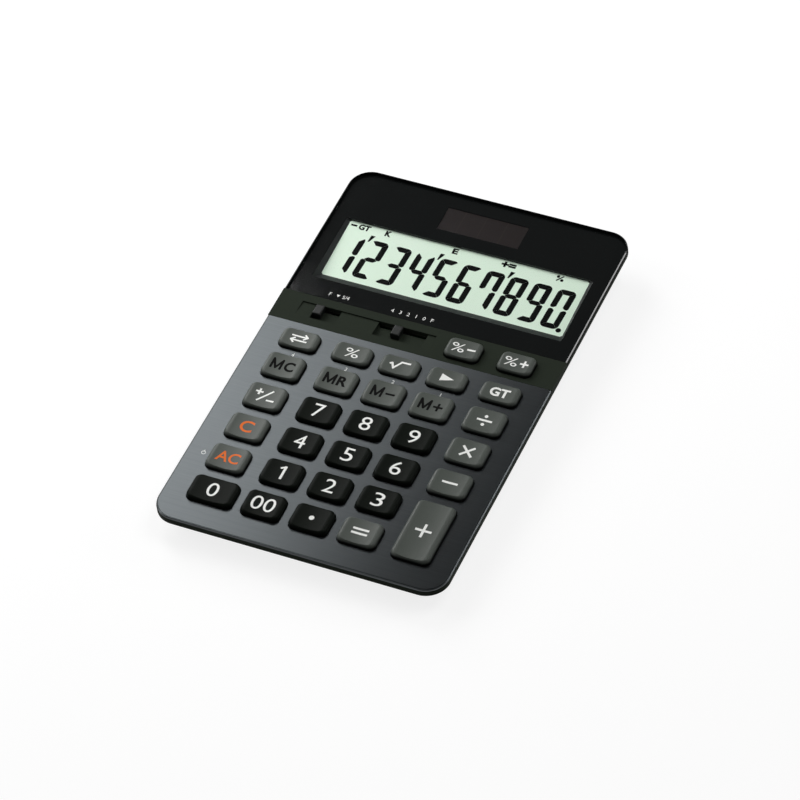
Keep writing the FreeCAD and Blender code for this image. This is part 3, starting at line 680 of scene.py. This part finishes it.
def print_keys():
    for node, (ink, *strokes) in legends.items():
        drawing = bmesh.new()
        x, y = middle_on_face(node)
        for draw in strokes:
            draw(drawing, x, y)
        lay_on(node.replace("key_", "legend_"), drawing, node, node, ink, print_lift)


print_keys()


# Display segments, in millimetres; the slant in degrees

display_rear_y = 64.2
segment_lift = 0.03
shown_digits = "1234567890"
digit_pitch = 9.125
digit_width = 6.95
digit_height = 18.15
digit_stroke = 2.22
digit_corner = 1.9
corner_steps = 3
digit_gap = 0.02
digit_bar = 1.9
digit_waist = 0.28
digit_slant = 2.8
digit_top_drop = 6.25
digit_shift = -0.36
point_x = 44.4
point_drop = 24.4
point_radius = 1.0

# Ends of the strokes of a digit near its waist, in strokes: in from the side, up from the waist
upright_foot = ((0.0, 0.25), (0.2, 0.0), (0.6, 0.0), (1.0, 0.32))
bar_tip = 0.5

# Marks that group the digits: the digits they follow, their place and their corners
tick_digits = (0, 3, 6)
tick_shift = 0.95
tick_rise = 0.6
tick_corners = ((-0.85, -1.9), (-0.75, 1.2), (0.9, 1.2), (-0.3, -1.9))

# Row of small signs, the last of them a percent sign of three strokes
sign_drop = 1.9
sign_height = 2.6
display_signs = (
    bar(-44.6, 0, 2.4, 0.75),
    words("GT", -40.4, 0, 4.5, sign_height, sign_weight),
    words("K", -31.0, 0, 2.4, sign_height, sign_weight),
    words("E", -4.6, 0, 2.2, sign_height, sign_weight),
    words("+=", 16.2, 0, 5.6, sign_height, sign_weight),
    bar(36.0, 0, 3.4, 0.5, 50.0),
    disc(35.1, 0.7, 0.62),
    disc(36.9, -0.7, 0.62),
)

lit_segments = {
    "0": "abcdef", "1": "bc", "2": "abged", "3": "abgcd", "4": "fgbc",
    "5": "afgcd", "6": "afgedc", "7": "fabc", "8": "abcdefg", "9": "abcdfg",
}


def add_segment(drawing, place, points):
    """One flat face through a few corner points."""
    corners = [drawing.verts.new(place @ Vector((x, y, 0))) for x, y in points]
    drawing.faces.new(corners)


def segment_shapes():
    """The seven segments of a digit about its middle, as corner points."""
    half_w = digit_width / 2
    half_h = digit_height / 2
    inner_x = half_w - digit_stroke
    inner_y = half_h - digit_stroke

    def corner(side, start, stop):
        """Points round an outer corner at the top of the digit, between two angles."""
        steps = range(corner_steps + 1)
        angles = [math.radians(start + (stop - start) * i / corner_steps) for i in steps]
        x = side * (half_w - digit_corner)
        y = half_h - digit_corner
        return [(x + digit_corner * math.cos(a), y + digit_corner * math.sin(a)) for a in angles]

    left_end = [(x + digit_gap, y) for x, y in corner(-1, 135, 90)]
    right_end = [(x - digit_gap, y) for x, y in corner(1, 90, 45)]
    top = left_end + right_end + [(inner_x - digit_gap, inner_y), (-inner_x + digit_gap, inner_y)]
    right = [(x, y - digit_gap) for x, y in corner(1, 45, 0)]
    right += [(half_w - digit_stroke * dx, digit_waist + digit_stroke * dy) for dx, dy in upright_foot]
    right.append((inner_x, inner_y - digit_gap))
    tip_x = half_w - digit_stroke * bar_tip
    middle = [
        (-tip_x, 0), (-inner_x, digit_bar / 2), (inner_x, digit_bar / 2),
        (tip_x, 0), (inner_x, -digit_bar / 2), (-inner_x, -digit_bar / 2),
    ]
    return {
        "a": top, "d": [(x, -y) for x, y in top], "g": middle,
        "b": right, "c": [(x, -y) for x, y in right],
        "f": [(-x, y) for x, y in right], "e": [(-x, -y) for x, y in right],
    }


def draw_display():
    """Ten slanted digits, the marks that group them, the point and a row of small signs."""
    drawing = bmesh.new()
    shapes = segment_shapes()
    lean = math.tan(math.radians(digit_slant))
    slant = Matrix(((1, lean, 0, 0), (0, 1, 0, 0), (0, 0, 1, 0), (0, 0, 0, 1)))
    middle_y = display_rear_y - digit_top_drop - digit_height / 2
    first_x = digit_shift - digit_pitch * (len(shown_digits) - 1) / 2
    for i, digit in enumerate(shown_digits):
        place = spot(first_x + digit_pitch * i, middle_y) @ slant
        for letter in lit_segments[digit]:
            add_segment(drawing, place, shapes[letter])
    tick_y = middle_y + digit_height / 2 + tick_rise
    for i in tick_digits:
        place = spot(first_x + digit_pitch * (i + 0.5) + tick_shift, tick_y) @ slant
        add_segment(drawing, place, tick_corners)
    add_disc(drawing, point_x, display_rear_y - point_drop, point_radius)
    for draw in display_signs:
        draw(drawing, 0, display_rear_y - sign_drop)
    lay_on("display_segments", drawing, "lcd_panel", "body", segment_ink, segment_lift)


draw_display()


# Rubber domes under the keys, in millimetres

dome_base_radius = 3.2
dome_top_radius = 2.0
dome_wall = 0.6
dome_round = 0.25
dome_sides = 32


def dome_shape(height):
    """Points and faces of a hollow dome about its own axis, its profile turned in equal steps."""
    profile = (
        (dome_base_radius, 0), (dome_top_radius + dome_round, height - dome_round),
        (dome_top_radius - dome_round, height), (0, height), (0, height - dome_wall),
        (dome_top_radius - dome_wall, height - dome_wall), (dome_base_radius - dome_wall, 0),
    )
    points = []
    rings = []
    for radius, rise in profile:
        sides = dome_sides if radius else 1
        rings.append([len(points) + i % sides for i in range(dome_sides + 1)])
        angles = [2 * math.pi * i / sides for i in range(sides)]
        points += [(radius * math.cos(a), radius * math.sin(a), rise) for a in angles]
    faces = []
    for ring, following in zip(rings, rings[1:] + rings[:1]):
        for i in range(dome_sides):
            # A ring on the axis is one point, which a face takes only once
            corners = dict.fromkeys((ring[i], ring[i + 1], following[i + 1], following[i]))
            if len(corners) > 2:
                faces.append(tuple(corners))
    return points, faces


def make_dome(key):
    """A hollow rubber dome under a key."""
    x, y = middle_on_face(key)
    base, top = (level / MM for level in reach("key_domes", face_normal))
    level = base - face_normal.dot(face.translation) / MM
    place = face @ Matrix.Diagonal((MM, MM, MM, 1)) @ Matrix.Translation((x, y, level))
    points, faces = dome_shape(top - base)
    mesh = bpy.data.meshes.new(key.replace("key_", "dome_"))
    mesh.from_pydata(points, [], faces)
    mesh.transform(place)
    mesh.materials.append(finishes["contact_rubber"])
    piece = bpy.data.objects.new(mesh.name, mesh)
    scene.collection.objects.link(piece)
    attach(piece, "body")
    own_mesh(piece)
    return piece


def make_domes():
    for key in legends:
        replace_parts(make_dome(key), "key_domes")


make_domes()


# Small printed marks on the window and the plate, in millimetres

switch_step = 3.05
scale_y = 27.3
mark_height = 1.6
fraction_width = 2.6
down_y = 27.45
down_radius = 0.75
memory_number_shift = (0.3, 7.2)
memory_number_height = 1.5
memory_numbers = {
    "key_memory_clear": "4", "key_memory_recall": "3", "key_memory_minus": "2", "key_memory_plus": "1",
}
power_x = -9.9
power_sign = (words("O", power_x, 0.5, None, mark_height), bar(power_x, 1.2, 0.3, 1.0))


def print_window_marks():
    """The scales of the two switches, with the places of each knob counted from where it rests."""
    drawing = bmesh.new()
    knob_x = middle_on_face("decimal_knob")[0]
    for place, figure in enumerate("43210F", start=-2):
        add_words(drawing, figure, knob_x + switch_step * place, scale_y, None, mark_height)
    knob_x = middle_on_face("rounding_knob")[0]
    add_words(drawing, "F", knob_x, scale_y, None, mark_height)
    add_triangle(drawing, down_radius, spot(knob_x + switch_step, down_y, 180))
    add_words(drawing, "5/4", knob_x + switch_step * 2, scale_y, fraction_width, mark_height)
    lay_on("window_marks", drawing, "window_mask", "body", white_ink, print_lift)


def print_plate_marks():
    """A power sign beside a clear key and a number over each memory key."""
    drawing = bmesh.new()
    for draw in power_sign:
        draw(drawing, *middle_on_face("key_all_clear"))
    dx, dy = memory_number_shift
    for node, figure in memory_numbers.items():
        x, y = middle_on_face(node)
        add_words(drawing, figure, x + dx, y + dy, None, memory_number_height)
    lay_on("plate_marks", drawing, "keyboard_plate", "body", white_ink, print_lift)


print_window_marks()
print_plate_marks()


# Studio: pale floor, soft lamps and the camera, in metres and watts

floor_size = 6.0
floor_level = -0.2 * MM
floor_colour = (0.25, 0.25, 0.25, 1)
floor_glow = 0.82
world_colour = (0.06, 0.06, 0.06, 1)

# Name, place, size and power of each lamp; all of them face the origin
lamps = (
    ("sheen_card", (-0.285, 0.229, 0.3), (0.158, 0.347), 0.88),
    ("left_softbox", (-0.8, -0.1, 0.5), (0.4, 0.5), 2.2),
    ("top_softbox", (0.5, 0.45, 1.2), (0.7, 0.7), 4.9),
    ("rear_softbox", (-0.72, 0.58, 0.55), (0.4, 0.5), 2.4),
    ("edge_card", (1.0, 0.85, 0.45), (0.5, 0.2), 2.4),
    ("front_card", (-0.42, -0.94, 0.79), (0.4, 0.4), 0.3),
)


def studio_floor():
    """A grey floor that glows for the camera and in reflections, but casts no light of its own."""
    bpy.ops.mesh.primitive_plane_add(size=floor_size, location=(0, 0, floor_level))
    floor = bpy.context.object
    floor.name = "studio_floor"
    material, tree, shader = start_material("studio_floor")
    shader["Base Color"].default_value = floor_colour
    shader["Roughness"].default_value = 0.9
    shader["Specular IOR Level"].default_value = 0.0
    shader["Emission Color"].default_value = (1, 1, 1, 1)
    seen = tree.nodes.new("ShaderNodeLightPath").outputs
    glow = math_node(tree, "MAXIMUM", seen["Is Camera Ray"], seen["Is Transmission Ray"])
    glow = math_node(tree, "MAXIMUM", glow, seen["Is Glossy Ray"])
    put_in(tree, shader["Emission Strength"], math_node(tree, "MULTIPLY", glow, floor_glow))
    floor.data.materials.append(material)


def add_lamp(name, place, size, power):
    light = bpy.data.lights.new(name, "AREA")
    light.shape = "RECTANGLE"
    light.size, light.size_y = size
    light.energy = power
    holder = bpy.data.objects.new(name, light)
    holder.location = place
    holder.rotation_euler = (-Vector(place)).to_track_quat("-Z", "Y").to_euler()
    scene.collection.objects.link(holder)


def add_camera():
    view = bpy.data.cameras.new("camera")
    view.lens = camera_lens
    view.sensor_width = camera_sensor
    view.clip_end = camera_far
    holder = bpy.data.objects.new("camera", view)
    holder.location = camera_place
    holder.rotation_euler = [math.radians(angle) for angle in camera_turn]
    scene.collection.objects.link(holder)
    scene.camera = holder


def studio():
    studio_floor()
    world = bpy.data.worlds.new("studio")
    scene.world = world
    world.use_nodes = True
    world.node_tree.nodes["Background"].inputs["Color"].default_value = world_colour
    for lamp in lamps:
        add_lamp(*lamp)
    add_camera()


studio()
